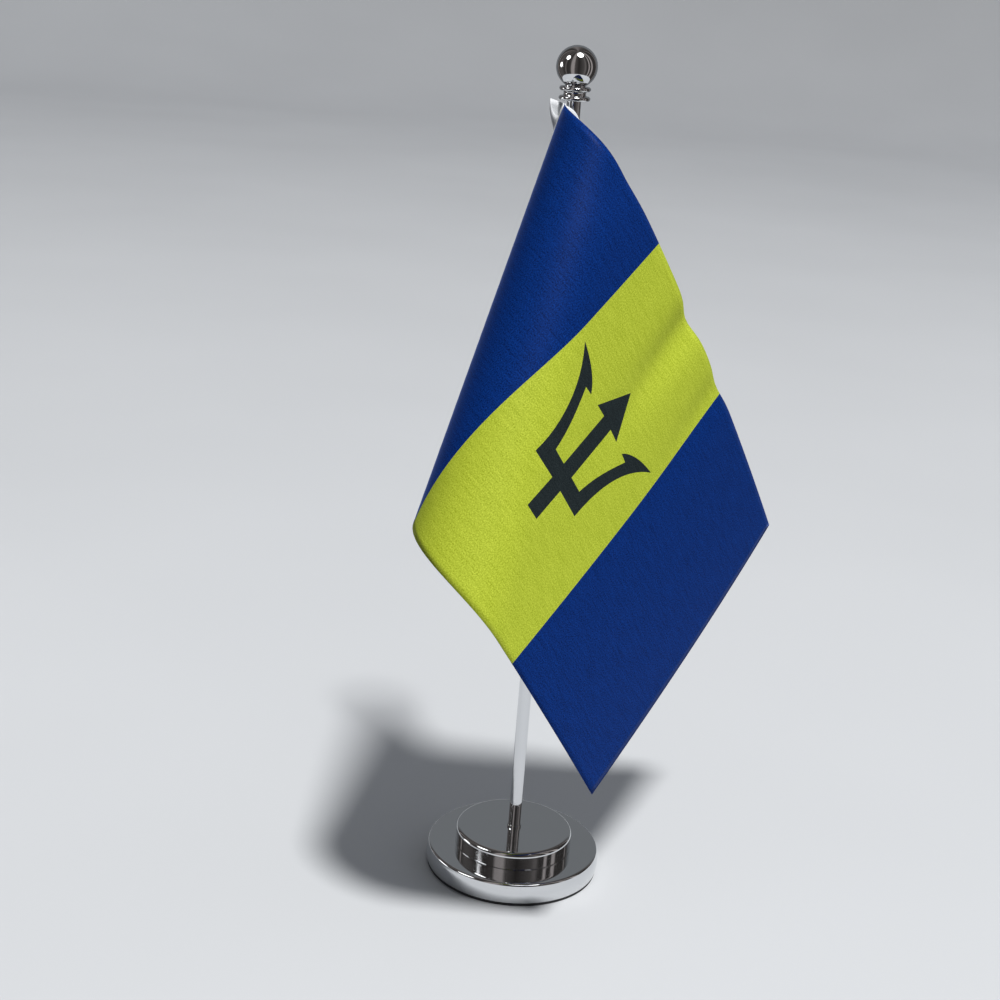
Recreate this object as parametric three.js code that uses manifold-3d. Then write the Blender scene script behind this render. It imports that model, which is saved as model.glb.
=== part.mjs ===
// A desk flag stand: a weighted chrome base in two tiers, a thin pole with a ball finial,
// and a small printed flag whose hem slips over the pole and turns on it.
// Millimetres, +Z up. The origin is the centre of the underside, on the pole's axis.

import * as THREE from 'three';
import { mergeVertices } from 'three/addons/utils/BufferGeometryUtils.js';
import Module from 'manifold-3d';

const wasm = await Module();
wasm.setup();

// ---------------------------------------------------------------- sizes

const runGap = 0.3;            // room left between pieces that lie close together
const threadGap = 0.05;        // radial room in every threaded hole
const roundSteps = 48;         // facets round the large turned pieces
const smallSteps = 24;         // facets round the pole, plugs and screws
const ballSteps = 32;

const baseDiameter = 70;
const baseTopHeight = 9.5;     // top of the lower tier above the table
const baseSideBulge = 0.5;     // how far the side swells past its rims
const baseEdgeRadius = 1.1;
const coverWall = 0.8;         // pressed steel of both covers
const padThickness = 1.2;
const padInset = 0.7;          // the pad's edge stands back from the base's side

const drumDiameter = 47;
const drumHeight = 7.1;
const drumEdgeRadius = 1.8;

const poleDiameter = 5;
const poleWall = 0.4;
const poleTopHeight = 305.2;   // where the finial's neck seats on the pole
const plugLength = 12;
const threadDiameter = 3;
const threadInPlug = 8;        // how deep each thread reaches into its plug
const collarWidth = 0.35;
const collarHeight = 1;

const screwHeadDiameter = 5.5;
const screwHeadHeight = 1.8;
const screwSlotWidth = 0.8;
const screwSlotDepth = 0.9;
const washerDiameter = 7;
const washerThickness = 0.5;
const springDiameter = 5.2;
const springThickness = 0.8;
const springSplit = 0.5;       // the cut in the spring washer
const shankRoom = 0.2;         // radial room round the screw in covers and weights

const ballDiameter = 14.8;
const neckHeight = 5.3;        // from the pole's end to the ball's flat foot
const neckDiameter = 8.6;
const neckWaist = 0.3;         // how far the neck draws in at mid height
const ringDiameter = 11.3;
const ringThickness = 1.6;
const ringSpacing = 3.3;       // bottom of one ring to bottom of the next
const studInBall = 3.5;

const flagFly = 210;           // along the flag, from the hoist to the free edge
const flagHoist = 140;         // across the flag, down the pole
const clothThickness = 1;      // sheet thickness of the flag's solid
const flagTopDrop = 0.2;       // the flag's top below the finial's lower ring
const sleeveRoom = 0.4;        // radial slack of the sleeve on the pole
const sleeveWall = 0.8;
const hemSeamRadius = 11.2;    // the hoist seam's distance from the pole's axis
const hemSeamAngle = 222.6;    // its direction, in degrees from +X
const hemRootWidth = 4;        // the hem is this wide where it leaves the sleeve
const hemSeamGap = 0.6;
const hemSteps = 20;
const clothStep = 7;           // longest facet of the flag

// The flag hangs as a flat sheet that leaves the hem, rolls once round a slender cone and
// comes back in front of the pole, where it still follows a wide cone a little. Both cones
// have the same tip, off the sheet.
const backHeading = 234.5;     // direction of the first flat sheet, in degrees from +X
const tipBehindHoist = 195.6;  // the cones' tip, measured on the unrolled sheet
const tipAboveTop = 382.5;
const rollStart = 25.27;       // rulings from the tip, in degrees from straight down
const rollEnd = 31.82;
const rollHalfAngle = 2.24;
const frontHalfAngle = 52.8;

// ---------------------------------------------------------------- worked-out sizes

const baseRadius = baseDiameter / 2;
const drumRadius = drumDiameter / 2;
const drumTopHeight = baseTopHeight + drumHeight;
const poleRadius = poleDiameter / 2;
const poleBore = poleRadius - poleWall;
const threadRadius = threadDiameter / 2;
const tappedRadius = threadRadius + threadGap;
const shankHole = threadRadius + shankRoom;
const sleeveBore = poleRadius + sleeveRoom;
const sleeveRadius = sleeveBore + sleeveWall;
const flagTop = poleTopHeight - flagTopDrop;
const recessTop = padThickness + runGap + screwHeadHeight + springThickness + washerThickness;

// ---------------------------------------------------------------- finishes

const finish = (color, roughness, metalness) => () => (
  new THREE.MeshStandardMaterial({ color, roughness, metalness })
);
const chrome = finish(0xc9cdd1, 0.06, 1);
const steel = finish(0x9b9fa3, 0.35, 1);
const castIron = finish(0x3a3b3d, 0.7, 0.8);
const brass = finish(0xb5924c, 0.35, 1);
const foam = finish(0x17181a, 0.9, 0);
const whiteCloth = finish(0xe9ebee, 0.85, 0);
const blueCloth = finish(0x16307f, 0.8, 0);

// ---------------------------------------------------------------- shared shapes

const part = new THREE.Group();

function addPiece(name, geometry, material) {
  const mesh = new THREE.Mesh(geometry, material());
  mesh.name = name;
  part.add(mesh);
  return mesh;
}

// Turns a closed outline of [radius, height] points about the pole's axis.
function turned(outline, steps) {
  const points = outline.map(([radius, height]) => new THREE.Vector2(radius, height));
  const geometry = new THREE.LatheGeometry(points, steps);
  geometry.rotateX(Math.PI / 2);
  return geometry;
}

// A plain ring or disc; a bore of 0 makes a disc.
function ring(outer, bore, low, high, steps) {
  const outline = [[bore, low], [outer, low], [outer, high], [bore, high]];
  if (bore > 0) outline.push([bore, low]);
  return turned(outline, steps);
}

// Points along an arc of an outline, angles in degrees.
function arc(radius, height, size, from, to, steps) {
  const points = [];
  for (let i = 0; i <= steps; i += 1) {
    const angle = THREE.MathUtils.degToRad(from + ((to - from) * i) / steps);
    points.push([radius + size * Math.cos(angle), height + size * Math.sin(angle)]);
  }
  return points;
}

function toSolid(geometry) {
  const bare = geometry.clone();
  bare.deleteAttribute('normal');
  bare.deleteAttribute('uv');
  const merged = mergeVertices(bare, 1e-4);
  const vertProperties = new Float32Array(merged.attributes.position.array);
  const triVerts = new Uint32Array(merged.index.array);
  return new wasm.Manifold(new wasm.Mesh({ numProp: 3, vertProperties, triVerts }));
}

function toGeometry(solid) {
  const mesh = solid.getMesh();
  const geometry = new THREE.BufferGeometry();
  geometry.setAttribute('position', new THREE.BufferAttribute(mesh.vertProperties, 3));
  geometry.setIndex(new THREE.BufferAttribute(mesh.triVerts, 1));
  geometry.computeVertexNormals();
  return geometry;
}

// Skins a row of matching closed loops. Each loop runs out along one side and back along the
// other, so that both ends are closed by strips between the two sides.
function lofted(loops) {
  const sides = loops[0].length;
  const vertices = loops.flat().flatMap((point) => [point.x, point.y, point.z]);
  const faces = [];
  for (let i = 0; i < loops.length - 1; i += 1) {
    for (let j = 0; j < sides; j += 1) {
      const a = i * sides + j;
      const b = i * sides + ((j + 1) % sides);
      faces.push(a, b, b + sides, a, b + sides, a + sides);
    }
  }
  const last = (loops.length - 1) * sides;
  for (let j = 0; j < sides / 2 - 1; j += 1) {
    const k = sides - 1 - j;
    faces.push(j, k, k - 1, j, k - 1, j + 1);
    faces.push(last + j, last + k - 1, last + k, last + j, last + j + 1, last + k - 1);
  }
  const geometry = new THREE.BufferGeometry();
  geometry.setAttribute('position', new THREE.Float32BufferAttribute(vertices, 3));
  geometry.setIndex(faces);
  geometry.computeVertexNormals();
  return geometry;
}

// ---------------------------------------------------------------- base

// A pressed cover: an outer skin with a rounded top edge, open underneath.
function coverOutline(radius, low, high, edge, bulge) {
  const rimRadius = radius - bulge;
  const sideHeight = (high - edge - low) / 2;
  const outer = [];
  for (let i = 0; i <= 4; i += 1) {
    const across = i / 2 - 1;
    outer.push([radius - bulge * across * across, low + sideHeight * (across + 1)]);
  }
  outer.push(...arc(rimRadius - edge, high - edge, edge, 0, 90, 4).slice(1));
  const inner = [
    [shankHole, high],
    [shankHole, high - coverWall],
    [rimRadius - edge, high - coverWall],
    [rimRadius - coverWall, high - edge],
    [rimRadius - coverWall, low],
  ];
  return [...outer, ...inner, outer[0]];
}

function weightOutline(radius, low, high, edge, recess) {
  return [
    ...recess,
    [radius, low],
    [radius, high - edge],
    [radius - edge, high],
    [shankHole, high],
    recess[0],
  ];
}

const baseInner = baseRadius - baseSideBulge - coverWall - runGap;
const drumInner = drumRadius - coverWall - runGap;
const washerRecess = washerDiameter / 2 + runGap;

addPiece('foot_pad', ring(baseRadius - padInset, 0, 0, padThickness, roundSteps), foam);
addPiece(
  'base_cover',
  turned(
    coverOutline(baseRadius, padThickness, baseTopHeight, baseEdgeRadius, baseSideBulge),
    roundSteps,
  ),
  chrome,
);
addPiece(
  'base_weight',
  turned(
    weightOutline(
      baseInner,
      padThickness,
      baseTopHeight - coverWall,
      baseEdgeRadius,
      [[shankHole, recessTop], [washerRecess, recessTop], [washerRecess, padThickness]],
    ),
    roundSteps,
  ),
  castIron,
);
addPiece(
  'drum_cover',
  turned(coverOutline(drumRadius, baseTopHeight, drumTopHeight, drumEdgeRadius, 0), roundSteps),
  chrome,
);
addPiece(
  'drum_weight',
  turned(
    weightOutline(
      drumInner,
      baseTopHeight,
      drumTopHeight - coverWall,
      drumEdgeRadius,
      [[shankHole, baseTopHeight]],
    ),
    roundSteps,
  ),
  castIron,
);

// ---------------------------------------------------------------- screw and washers

const headLow = padThickness + runGap;
const headTop = headLow + screwHeadHeight;
const springTop = headTop + springThickness;

function slottedScrew() {
  const headRadius = screwHeadDiameter / 2;
  const round = 0.5;
  const body = turned(
    [
      [0, headLow],
      [headRadius - round, headLow],
      [headRadius, headLow + round],
      [headRadius, headTop],
      [threadRadius, headTop],
      [threadRadius, drumTopHeight + threadInPlug],
      [0, drumTopHeight + threadInPlug],
    ],
    smallSteps,
  );
  const slot = new THREE.BoxGeometry(screwHeadDiameter * 2, screwSlotWidth, screwSlotDepth * 2);
  slot.translate(0, 0, headLow);
  return toGeometry(toSolid(body).subtract(toSolid(slot)));
}

function splitRing() {
  const outer = springDiameter / 2;
  const bore = shankHole;
  const outerEnd = Math.asin(springSplit / 2 / outer);
  const boreEnd = Math.asin(springSplit / 2 / bore);
  const shape = new THREE.Shape();
  shape.absarc(0, 0, outer, outerEnd, 2 * Math.PI - outerEnd, false);
  shape.absarc(0, 0, bore, 2 * Math.PI - boreEnd, boreEnd, true);
  const depth = springThickness;
  const geometry = new THREE.ExtrudeGeometry(shape, { depth, bevelEnabled: false });
  geometry.translate(0, 0, headTop);
  return geometry;
}

addPiece('base_screw', slottedScrew(), steel);
addPiece('spring_washer', splitRing(), steel);
addPiece(
  'flat_washer',
  ring(washerDiameter / 2, shankHole, springTop, springTop + washerThickness, smallSteps),
  steel,
);

// ---------------------------------------------------------------- pole

const collarBore = poleRadius + threadGap;
const collarRadius = collarBore + collarWidth;
const plugRadius = poleBore - threadGap;

addPiece(
  'pole_collar',
  ring(collarRadius, collarBore, drumTopHeight, drumTopHeight + collarHeight, smallSteps),
  chrome,
);
addPiece('pole_tube', ring(poleRadius, poleBore, drumTopHeight, poleTopHeight, smallSteps), chrome);
addPiece(
  'pole_foot_plug',
  ring(plugRadius, tappedRadius, drumTopHeight, drumTopHeight + plugLength, smallSteps),
  brass,
);
addPiece(
  'pole_head_plug',
  ring(plugRadius, tappedRadius, poleTopHeight - plugLength, poleTopHeight, smallSteps),
  brass,
);

// ---------------------------------------------------------------- finial

const ballFoot = poleTopHeight + neckHeight;
const ballRadius = ballDiameter / 2;
const ringRadius = ringDiameter / 2;
const neckRadius = neckDiameter / 2;
const ballFootRadius = neckRadius - 2 * neckWaist;
const ballCentre = ballFoot + Math.sqrt(ballRadius ** 2 - ballFootRadius ** 2);

// A thin ring with a rounded rim, as a stretch of the neck's outline.
const ringRim = (low) => {
  const rim = ringThickness / 2;
  return arc(ringRadius - rim, low + rim, rim, -90, 90, 4);
};

function spool() {
  const upperRing = poleTopHeight + ringSpacing;
  const waistMiddle = (poleTopHeight + ringThickness + upperRing) / 2;
  return turned(
    [
      [tappedRadius, poleTopHeight],
      ...ringRim(poleTopHeight),
      [neckRadius, poleTopHeight + ringThickness],
      [neckRadius - neckWaist, waistMiddle],
      [neckRadius, upperRing],
      ...ringRim(upperRing),
      [ballFootRadius, upperRing + ringThickness],
      [ballFootRadius, ballFoot],
      [tappedRadius, ballFoot],
      [tappedRadius, poleTopHeight],
    ],
    smallSteps,
  );
}

function boredBall() {
  const start = THREE.MathUtils.radToDeg(Math.atan2(ballFoot - ballCentre, ballFootRadius));
  const outline = [
    [tappedRadius, ballFoot],
    ...arc(0, ballCentre, ballRadius, start, 90, 16).slice(0, -1),
    [0, ballCentre + ballRadius],
    [0, ballFoot + studInBall + runGap],
    [tappedRadius, ballFoot + studInBall + runGap],
    [tappedRadius, ballFoot],
  ];
  return turned(outline, ballSteps);
}

addPiece(
  'finial_stud',
  ring(threadRadius, 0, poleTopHeight - threadInPlug, ballFoot + studInBall, smallSteps),
  steel,
);
addPiece('finial_neck', spool(), chrome);
addPiece('finial_ball', boredBall(), chrome);

// ---------------------------------------------------------------- flag

const up = new THREE.Vector3(0, 0, 1);
const degrees = (angle) => THREE.MathUtils.degToRad(angle);
const heading = new THREE.Vector3(Math.cos(degrees(backHeading)), Math.sin(degrees(backHeading)), 0);
const seamTop = new THREE.Vector3(
  hemSeamRadius * Math.cos(degrees(hemSeamAngle)),
  hemSeamRadius * Math.sin(degrees(hemSeamAngle)),
  flagTop,
);
const coneTip = seamTop.clone()
  .addScaledVector(heading, -tipBehindHoist)
  .addScaledVector(up, tipAboveTop);

// The ruling at an angle on the back sheet, before any rolling.
function flatRuling(angle) {
  return new THREE.Vector3()
    .addScaledVector(up, -Math.cos(angle))
    .addScaledVector(heading, Math.sin(angle));
}

const backNormal = new THREE.Vector3().crossVectors(heading, up);

// Carries a ruling and its normal round a cone, by their angle on the unrolled sheet.
function carryRound(halfAngle, angle, ruling, normal) {
  const axis = ruling.clone()
    .multiplyScalar(Math.cos(halfAngle))
    .addScaledVector(normal, -Math.sin(halfAngle));
  const turn = -angle / Math.sin(halfAngle);
  ruling.applyAxisAngle(axis, turn);
  normal.applyAxisAngle(axis, turn);
}

// A point of the sheet, lifted off its mid surface: along the fly, down the hoist.
function clothPoint(along, down, lift) {
  const angle = Math.atan2(along + tipBehindHoist, down + tipAboveTop);
  const reach = Math.hypot(along + tipBehindHoist, down + tipAboveTop);
  const start = degrees(rollStart);
  const end = degrees(rollEnd);
  const ruling = flatRuling(Math.min(angle, start));
  const normal = backNormal.clone();
  carryRound(degrees(rollHalfAngle), THREE.MathUtils.clamp(angle, start, end) - start, ruling, normal);
  carryRound(degrees(frontHalfAngle), Math.max(0, angle - end), ruling, normal);
  return coneTip.clone().addScaledVector(ruling, reach).addScaledVector(normal, lift);
}

// The sheet's section at one distance from the hoist: down one face and up the other.
function clothLoop(along, rows) {
  const loop = [];
  for (let i = 0; i <= rows; i += 1) {
    loop.push(clothPoint(along, (flagHoist * i) / rows, clothThickness / 2));
  }
  for (let i = rows; i >= 0; i -= 1) {
    loop.push(clothPoint(along, (flagHoist * i) / rows, -clothThickness / 2));
  }
  return loop;
}

const clothRows = Math.ceil(flagHoist / clothStep);
const clothColumns = Math.ceil(flagFly / clothStep);
const clothLoops = [];
for (let i = 0; i <= clothColumns; i += 1) {
  clothLoops.push(clothLoop((flagFly * i) / clothColumns, clothRows));
}

// The hem: a wedge of doubled cloth from the sleeve to the hoist seam, which it follows.
function hemLoop(down) {
  const seam = clothPoint(0, down, 0);
  const reach = Math.hypot(seam.x, seam.y);
  const outward = new THREE.Vector3(seam.x / reach, seam.y / reach, 0);
  const sideways = new THREE.Vector3().crossVectors(up, outward);
  const corner = (radius, offset) => (
    outward.clone()
      .multiplyScalar(radius)
      .addScaledVector(sideways, offset)
      .setZ(seam.z)
  );
  return [
    corner(sleeveRadius + runGap, -hemRootWidth / 2),
    corner(reach - hemSeamGap, -clothThickness / 2),
    corner(reach - hemSeamGap, clothThickness / 2),
    corner(sleeveRadius + runGap, hemRootWidth / 2),
  ];
}

const hemLoops = [];
for (let i = 0; i <= hemSteps; i += 1) {
  hemLoops.push(hemLoop(flagHoist * (1 - i / hemSteps)));
}

addPiece(
  'flag_sleeve',
  ring(sleeveRadius, sleeveBore, flagTop - flagHoist, flagTop, smallSteps),
  whiteCloth,
);
addPiece('flag_hem', lofted(hemLoops), whiteCloth);
addPiece('flag_panel', lofted(clothLoops), blueCloth);

export default part;
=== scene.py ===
import math

import bmesh
import bpy
import numpy as np
from mathutils import Matrix, Vector
from mathutils.geometry import delaunay_2d_cdt


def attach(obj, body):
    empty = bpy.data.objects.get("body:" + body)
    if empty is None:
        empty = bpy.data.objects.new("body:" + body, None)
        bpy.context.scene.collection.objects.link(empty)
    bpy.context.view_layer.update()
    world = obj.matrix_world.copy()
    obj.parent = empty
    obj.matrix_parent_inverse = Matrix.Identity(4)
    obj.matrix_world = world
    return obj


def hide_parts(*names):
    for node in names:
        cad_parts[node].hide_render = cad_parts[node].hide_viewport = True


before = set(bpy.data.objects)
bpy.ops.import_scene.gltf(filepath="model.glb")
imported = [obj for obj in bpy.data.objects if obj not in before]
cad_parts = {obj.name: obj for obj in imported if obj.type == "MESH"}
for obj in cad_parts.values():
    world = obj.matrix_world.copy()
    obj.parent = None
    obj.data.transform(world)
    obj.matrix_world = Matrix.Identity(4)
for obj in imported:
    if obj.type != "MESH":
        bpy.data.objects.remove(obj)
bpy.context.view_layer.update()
mm = 0.001
print("frame loaded:", len(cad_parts), "nodes")


# small helpers for objects and shader nodes

def addItem(name, data):
    item = bpy.data.objects.new(name, data)
    bpy.context.scene.collection.objects.link(item)
    return item


def setInput(tree, socket, value):
    # links another node's socket, or sets a plain value
    if isinstance(value, bpy.types.NodeSocket):
        tree.links.new(value, socket)
    else:
        socket.default_value = value


def addMath(tree, operation, *values):
    node = tree.nodes.new("ShaderNodeMath")
    node.operation = operation
    for slotIndex, value in enumerate(values):
        setInput(tree, node.inputs[slotIndex], value)
    return node.outputs[0]


def addVectorMath(tree, operation, first, second, result):
    node = tree.nodes.new("ShaderNodeVectorMath")
    node.operation = operation
    setInput(tree, node.inputs[0], first)
    setInput(tree, node.inputs[1], second)
    return node.outputs[result]


def addNoise(tree, vector, scale, detail=2.0, roughness=0.5):
    node = tree.nodes.new("ShaderNodeTexNoise")
    for label, value in (("Vector", vector), ("Scale", scale), ("Detail", detail), ("Roughness", roughness)):
        setInput(tree, node.inputs[label], value)
    return node.outputs["Fac"]


def addMapRange(tree, value, fromLow, fromHigh, toLow=0.0, toHigh=1.0):
    node = tree.nodes.new("ShaderNodeMapRange")
    node.clamp = True
    for label, item in (
        ("Value", value),
        ("From Min", fromLow), ("From Max", fromHigh),
        ("To Min", toLow), ("To Max", toHigh),
    ):
        setInput(tree, node.inputs[label], item)
    return node.outputs["Result"]


def addColourMix(tree, factor, first, second):
    node = tree.nodes.new("ShaderNodeMix")
    node.data_type = "RGBA"
    for label, value in (("Factor", factor), ("A", first), ("B", second)):
        setInput(tree, node.inputs[label], value)
    return node.outputs["Result"]


def newMaterial(name):
    material = bpy.data.materials.new(name)
    material.use_nodes = True
    tree = material.node_tree
    return material, tree, tree.nodes["Principled BSDF"]


def addTwoTone(tree, shader, mask, first, second):
    tree.links.new(addColourMix(tree, mask, (*first, 1), (*second, 1)), shader.inputs["Base Color"])


# camera, lights and floor

cameraSetup = {
    "distance": 0.712,      # from the middle of the base
    "elevation": 29.8,      # seen from the base
    "yaw": -1.45,
    "pitch": 17.87,         # below the horizon
    "roll": 4.3,            # the camera is held a little askew
    "lens": 61.2,
    "sensor": 36,
}

lightSetup = {
    "target": (0, 0, 0.15),
    "lamps": [
        {"name": "keyLight", "direction": (0.2, -0.4, 0.9), "distance": 5.0, "size": 0.6, "power": 318},
    ],
}

roomSetup = {
    "backdrop": (0.8, 0.82, 0.84, 1),       # what the camera sees past the floor
    "bounce": (0.5, 0.52, 0.56, 1),         # soft light on cloth and floor, from the bright side
    "bounceShade": (0.01, 0.012, 0.02, 1),  # and from the dim side
    "bounceFrom": (0.62, 0.34, 0.7),
    "bounceEdge": -0.15,
    "mirrorDark": (0.012, 0.011, 0.01),     # the dim room that chrome mirrors, with its upright bands
    "mirrorBright": (0.66, 0.6, 0.58),
    "mirrorBack": (0.18, 0.19, 0.2, 1),     # the backdrop, where chrome mirrors it
    "backFrom": (0.6, 0.8),                 # how far back it starts and is full
    "backUnder": (0.9, 0.6),                # how high up it ends and is full
    "panels": [                             # bright lamps that only chrome shows
        {"toward": (0.2, -0.33, 0.92), "edge": 0.968, "level": 5.0},
        {"toward": (-0.7, -0.29, 0.65), "edge": 0.982, "level": 4.0},
        {"toward": (-0.99, 0.1, 0.05), "edge": 0.985, "level": 3.0},
    ],
    "panelBlur": 0.006,
    "bands": [                              # turn of the compass and brightness
        (0.0, 0.1), (0.05, 0.03), (0.07, 0.2), (0.09, 0.03), (0.15, 0.06), (0.165, 0.45), (0.205, 0.5),
        (0.222, 0.1), (0.28, 0.02), (0.36, 0.1), (0.385, 0.2), (0.41, 0.04), (0.435, 0.05), (0.441, 0.6),
        (0.454, 0.55), (0.46, 0.04), (0.485, 0.05), (0.494, 0.65), (0.512, 0.55), (0.52, 0.05), (0.6, 0.04),
        (0.607, 0.5), (0.615, 0.05), (0.7, 0.1), (0.78, 0.3), (0.84, 0.05), (0.9, 0.06), (0.906, 0.6),
        (0.915, 0.05), (0.95, 0.12), (1.0, 0.1),
    ],
}

floorSetup = {
    "discRadius": 0.42,         # chrome and cloth see the floor this far out
    "reach": 3.2,
    "flatReach": 2.56,          # one flat face up to here
    "under": -0.0003,           # the bowl's height, just below the disc
    "curve": 1.2,
    "curveSteps": 12,
    "wall": 3.0,
    "steps": 96,                # round the floor
    "dark": (0.5, 0.51, 0.52),
    "light": (0.55, 0.56, 0.57),
    "cloudScale": 3,
    "roughness": 0.8,
    "gloss": 0.1,
}


def makeCamera(setup):
    elevation, yaw, pitch, roll = (math.radians(setup[k]) for k in ("elevation", "yaw", "pitch", "roll"))
    forward = Vector((math.sin(yaw) * math.cos(pitch), math.cos(yaw) * math.cos(pitch), -math.sin(pitch)))
    level = forward.cross(Vector((0, 0, 1))).normalized()
    upright = level.cross(forward)
    right = math.cos(roll) * level + math.sin(roll) * upright
    up = -math.sin(roll) * level + math.cos(roll) * upright
    camera = addItem("camera", bpy.data.cameras.new("camera"))
    camera.data.lens = setup["lens"]
    camera.data.sensor_width = setup["sensor"]
    place = Vector((0, -math.cos(elevation), math.sin(elevation))) * setup["distance"]
    turn = Matrix((right, up, -forward)).transposed().to_4x4()
    camera.matrix_world = Matrix.Translation(place) @ turn
    bpy.context.scene.camera = camera


def makeLamp(lamp, target):
    light = bpy.data.lights.new(lamp["name"], "AREA")
    light.shape = "DISK"
    light.size = lamp["size"]
    light.energy = lamp["power"]
    item = addItem(lamp["name"], light)
    aim = Vector(lamp["direction"]).normalized()
    item.location = Vector(target) + aim * lamp["distance"]
    item.rotation_mode = "QUATERNION"
    item.rotation_quaternion = aim.to_track_quat("Z", "Y")


def makeRoom(setup):
    # one sky for cloth and floor, a banded room for chrome, and a plain backdrop for the camera
    world = bpy.data.worlds.new("softRoom")
    bpy.context.scene.world = world
    world.use_nodes = True
    tree = world.node_tree
    where = tree.nodes.new("ShaderNodeTexCoord").outputs["Generated"]
    rays = tree.nodes.new("ShaderNodeLightPath")

    def facing(direction):
        return addVectorMath(tree, "DOT_PRODUCT", where, Vector(direction).normalized(), "Value")

    brightSide = addMapRange(tree, facing(setup["bounceFrom"]), setup["bounceEdge"], 1.0)
    bounce = addColourMix(tree, brightSide, setup["bounceShade"], setup["bounce"])

    split = tree.nodes.new("ShaderNodeSeparateXYZ")
    tree.links.new(where, split.inputs[0])
    around = addMath(tree, "ARCTAN2", split.outputs["Y"], split.outputs["X"])
    ramp = tree.nodes.new("ShaderNodeValToRGB")
    elements = ramp.color_ramp.elements
    for place, level in setup["bands"][1:-1]:
        elements.new(place)
    for element, (place, level) in zip(elements, setup["bands"]):
        element.position = place
        tone = [d + (l - d) * level for d, l in zip(setup["mirrorDark"], setup["mirrorBright"])]
        element.color = (*tone, 1)
    tree.links.new(addMapRange(tree, around, -math.pi, math.pi), ramp.inputs[0])

    behind = addMapRange(tree, split.outputs["Y"], *setup["backFrom"])
    below = addMapRange(tree, split.outputs["Z"], *setup["backUnder"])
    backShare = addMath(tree, "MULTIPLY", behind, below)
    lit = addColourMix(tree, backShare, ramp.outputs[0], setup["mirrorBack"])
    for panel in setup["panels"]:
        full = panel["edge"] + setup["panelBlur"]
        glow = addMapRange(tree, facing(panel["toward"]), panel["edge"], full, 0.0, panel["level"])
        lit = addVectorMath(tree, "ADD", lit, glow, "Vector")

    mirrored = addColourMix(tree, rays.outputs["Is Glossy Ray"], bounce, lit)
    seen = addColourMix(tree, rays.outputs["Is Camera Ray"], mirrored, setup["backdrop"])
    tree.links.new(seen, tree.nodes["Background"].inputs["Color"])


def makeFloorMaterial(setup):
    material, tree, shader = newMaterial("paleFloor")
    where = tree.nodes.new("ShaderNodeTexCoord")
    cloud = addNoise(tree, where.outputs["Object"], setup["cloudScale"])
    addTwoTone(tree, shader, cloud, setup["dark"], setup["light"])
    shader.inputs["Roughness"].default_value = setup["roughness"]
    shader.inputs["Specular IOR Level"].default_value = setup["gloss"]
    return material


def makeFloor(setup):
    # a round floor that curves up into a wall, and a disc on it that is also lit and mirrored
    reach, curve, under, steps = (setup[k] for k in ("reach", "curve", "under", "steps"))
    profile = [(setup["flatReach"], under), (reach, under)]
    for i in range(1, setup["curveSteps"] + 1):
        angle = math.radians(90 * i / setup["curveSteps"])
        profile.append((reach + curve * math.sin(angle), under + curve * (1 - math.cos(angle))))
    profile.append((reach + curve, setup["wall"]))
    turns = [2 * math.pi * i / steps for i in range(steps)]
    verts = [(r * math.cos(a), r * math.sin(a), z) for r, z in profile for a in turns]
    faces = [tuple(range(steps))]
    for ring in range(len(profile) - 1):
        for i in range(steps):
            a, b = ring * steps + i, ring * steps + (i + 1) % steps
            faces.append((a, a + steps, b + steps, b))
    bowl = bpy.data.meshes.new("bowl")
    bowl.from_pydata(verts, [], faces)
    bowl.shade_smooth()
    disc = bpy.data.meshes.new("floor")
    rim = [(setup["discRadius"] * math.cos(a), setup["discRadius"] * math.sin(a), 0) for a in turns]
    disc.from_pydata(rim, [], [tuple(range(steps))])
    material = makeFloorMaterial(setup)
    for mesh in (bowl, disc):
        mesh.materials.append(material)
        item = addItem(mesh.name, mesh)
        item.visible_glossy = item.visible_diffuse = item.visible_shadow = mesh is disc


makeCamera(cameraSetup)
for lampSetup in lightSetup["lamps"]:
    makeLamp(lampSetup, lightSetup["target"])
makeRoom(roomSetup)
makeFloor(floorSetup)
bpy.context.scene.view_settings.view_transform = "Standard"
print("camera, lights and floor made")


# shader node groups, each built once

weaveShape = {
    "fleckScale": 0.85,             # noise scales are for one thread pitch
    "fleckDetail": 2.0,
    "fleckRoughness": 0.6,
    "slubScale": 0.4,
    "slubStretch": (0.12, 1, 1),
    "ribHeight": 0.25,
    "ribShade": 0.04,
    "shadeReach": 0.2,
}

finishShape = {
    "hazeDetail": 3.0,
    "hazeMask": (0.45, 0.75),
    "scratchStretch": (1, 0.04, 0.6),
    "scratchTurn": (0.3, 0.2, 0.7),
    "scratchScale": 2600,
    "scratchMask": (0.66, 0.72),
    "scratchDepth": 0.4,
    "speckScale": 2200,
    "speckMask": (0.70, 0.76),
    "dustFacing": (0.6, 0.95),      # dust lies on faces that look up at least this much
}

grainShape = {
    "fineDetail": 4.0,
    "fineRoughness": 0.65,
    "broadScale": 0.12,
    "spread": 0.3,
}


def newGroup(name, inputs, outputs):
    # every socket is a plain value
    group = bpy.data.node_groups.new(name, "ShaderNodeTree")
    for side, labels in (("INPUT", inputs), ("OUTPUT", outputs)):
        for label in labels:
            group.interface.new_socket(name=label, in_out=side, socket_type="NodeSocketFloat")
    return group, group.nodes.new("NodeGroupInput"), group.nodes.new("NodeGroupOutput")


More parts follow.
